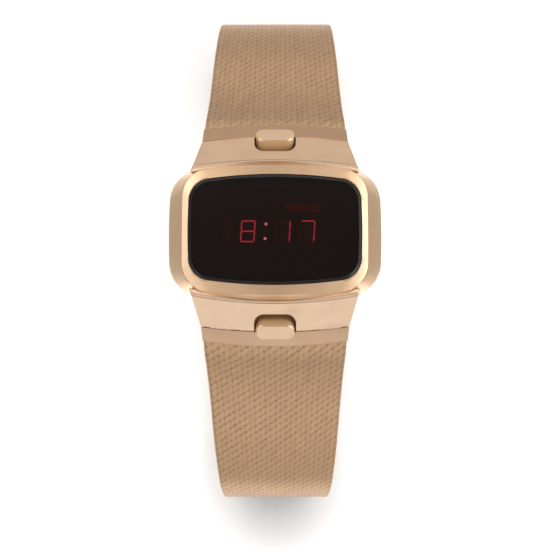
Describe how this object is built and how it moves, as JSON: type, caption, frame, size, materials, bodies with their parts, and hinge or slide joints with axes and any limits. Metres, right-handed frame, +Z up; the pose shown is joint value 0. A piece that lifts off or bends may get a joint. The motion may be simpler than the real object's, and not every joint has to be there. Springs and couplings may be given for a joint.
{
  "type": "led watch",
  "caption": "Cushion-shaped wrist watch with a dark red filter crystal over glowing seven-segment digits, two push buttons and a tapered woven mesh bracelet closed by a fold-over clasp.",
  "frame": {"origin": "centre of the table contact plane under the closed bracelet's clasp", "axes": "+Z up out of the display, +Y towards 12 o'clock, +X towards 3 o'clock"},
  "size_m": [0.037, 0.0924, 0.0514],
  "materials": {
    "gold_brushed": "fine brushed warm rose gold",
    "gold_polished": "polished warm rose gold",
    "gold_mesh": "woven mesh in warm rose gold, satin",
    "gold_clasp": "satin warm rose gold",
    "filter_glass": "dark red filter, polished",
    "back_steel": "brushed stainless steel",
    "pin_steel": "smooth steel",
    "contact_metal": "plated spring metal",
    "cell_steel": "nickel-plated steel can",
    "seal_rubber": "black rubber",
    "module_plastic": "dark moulded plastic",
    "mask_black": "matt black",
    "board_ceramic": "dark ceramic board",
    "chip_dark": "dark chip, matt",
    "stroke_lit": "glowing red",
    "stroke_unlit": "unlit, dull red",
    "sensor_red": "dull red, glossy",
    "trimmer_ceramic": "ceramic"
  },
  "bodies": {
    "head": {"bezel": "gold_brushed", "crystal": "filter_glass", "crystal_gasket": "seal_rubber", "case_body": "gold_polished", "end_link_12": "gold_polished", "end_link_6": "gold_polished", "spring_bar_12": "pin_steel", "spring_bar_6": "pin_steel", "date_seal": "seal_rubber", "time_seal": "seal_rubber", "date_spring": "pin_steel", "time_spring": "pin_steel", "date_blade": "contact_metal", "time_blade": "contact_metal", "lit_segments": "stroke_lit", "unlit_segments": "stroke_unlit", "digit_chips": "chip_dark", "light_sensor": "sensor_red", "dial_mask": "mask_black", "module_frame": "module_plastic", "circuit_board": "board_ceramic", "control_chip": "chip_dark", "quartz_can": "contact_metal", "trimmer_capacitor": "trimmer_ceramic", "battery_left": "cell_steel", "battery_right": "cell_steel", "contact_left": "contact_metal", "contact_right": "contact_metal", "case_back": "back_steel", "back_gasket": "seal_rubber", "back_screws": "pin_steel"},
    "band_12": {"knuckle_12": "pin_steel", "mesh_band_12": "gold_mesh", "tail_cap": "gold_polished", "clasp_frame": "gold_clasp", "cover_pin": "pin_steel", "lever_pin": "pin_steel"},
    "band_6": {"knuckle_6": "pin_steel", "mesh_band_6": "gold_mesh", "clasp_tongue": "gold_polished"},
    "cover": {"clasp_cover": "gold_clasp"},
    "lever": {"adjuster_lever": "gold_clasp"},
    "date_push": {"date_button": "gold_polished", "date_clip": "pin_steel"},
    "time_push": {"time_button": "gold_polished", "time_clip": "pin_steel"},
    "hatch_turn_left": {"hatch_left": "back_steel", "hatch_gasket_left": "seal_rubber"},
    "hatch_turn_right": {"hatch_right": "back_steel", "hatch_gasket_right": "seal_rubber"}
  },
  "joints": [
    {"name": "date_button_press", "type": "slide", "parent": "head", "child": "date_push", "axis": [0, -0.537, -0.8436], "range_m": [0, 0.0005], "stiffness_N_per_m": 1200, "springref_m": -0.0006, "deforming": ["date_spring"]},
    {"name": "time_button_press", "type": "slide", "parent": "head", "child": "time_push", "axis": [0, 0.537, -0.8436], "range_m": [0, 0.0005], "stiffness_N_per_m": 1200, "springref_m": -0.0006, "deforming": ["time_spring"]},
    {"name": "band_12_swing", "type": "hinge", "parent": "head", "child": "band_12", "pos_m": [0, 0.0185, 0.04256], "axis": [1, 0, 0], "range_deg": [0, 15]},
    {"name": "band_6_swing", "type": "hinge", "parent": "head", "child": "band_6", "pos_m": [0, -0.0185, 0.04256], "axis": [-1, 0, 0], "range_deg": [0, 15]},
    {"name": "clasp_cover_open", "type": "hinge", "parent": "band_12", "child": "cover", "pos_m": [0, 0.0108, 0.00084], "axis": [1, 0, 0], "range_deg": [0, 110]},
    {"name": "adjuster_lever_open", "type": "hinge", "parent": "band_12", "child": "lever", "pos_m": [0, 0.007, 0.00525], "axis": [-1, 0, 0], "range_deg": [0, 70]},
    {"name": "hatch_left_turn", "type": "hinge", "parent": "head", "child": "hatch_turn_left", "pos_m": [-0.0071, 0, 0.03996], "axis": [0, 0, 1], "range_deg": [0, 90]},
    {"name": "hatch_right_turn", "type": "hinge", "parent": "head", "child": "hatch_turn_right", "pos_m": [0.0071, 0, 0.03996], "axis": [0, 0, 1], "range_deg": [0, 90]}
  ],
  "couplings": [
    {"joint": "band_12_swing", "follows": "clasp_cover_open", "ratio": 0.13636},
    {"joint": "band_6_swing", "follows": "clasp_cover_open", "ratio": 0.13636}
  ]
}
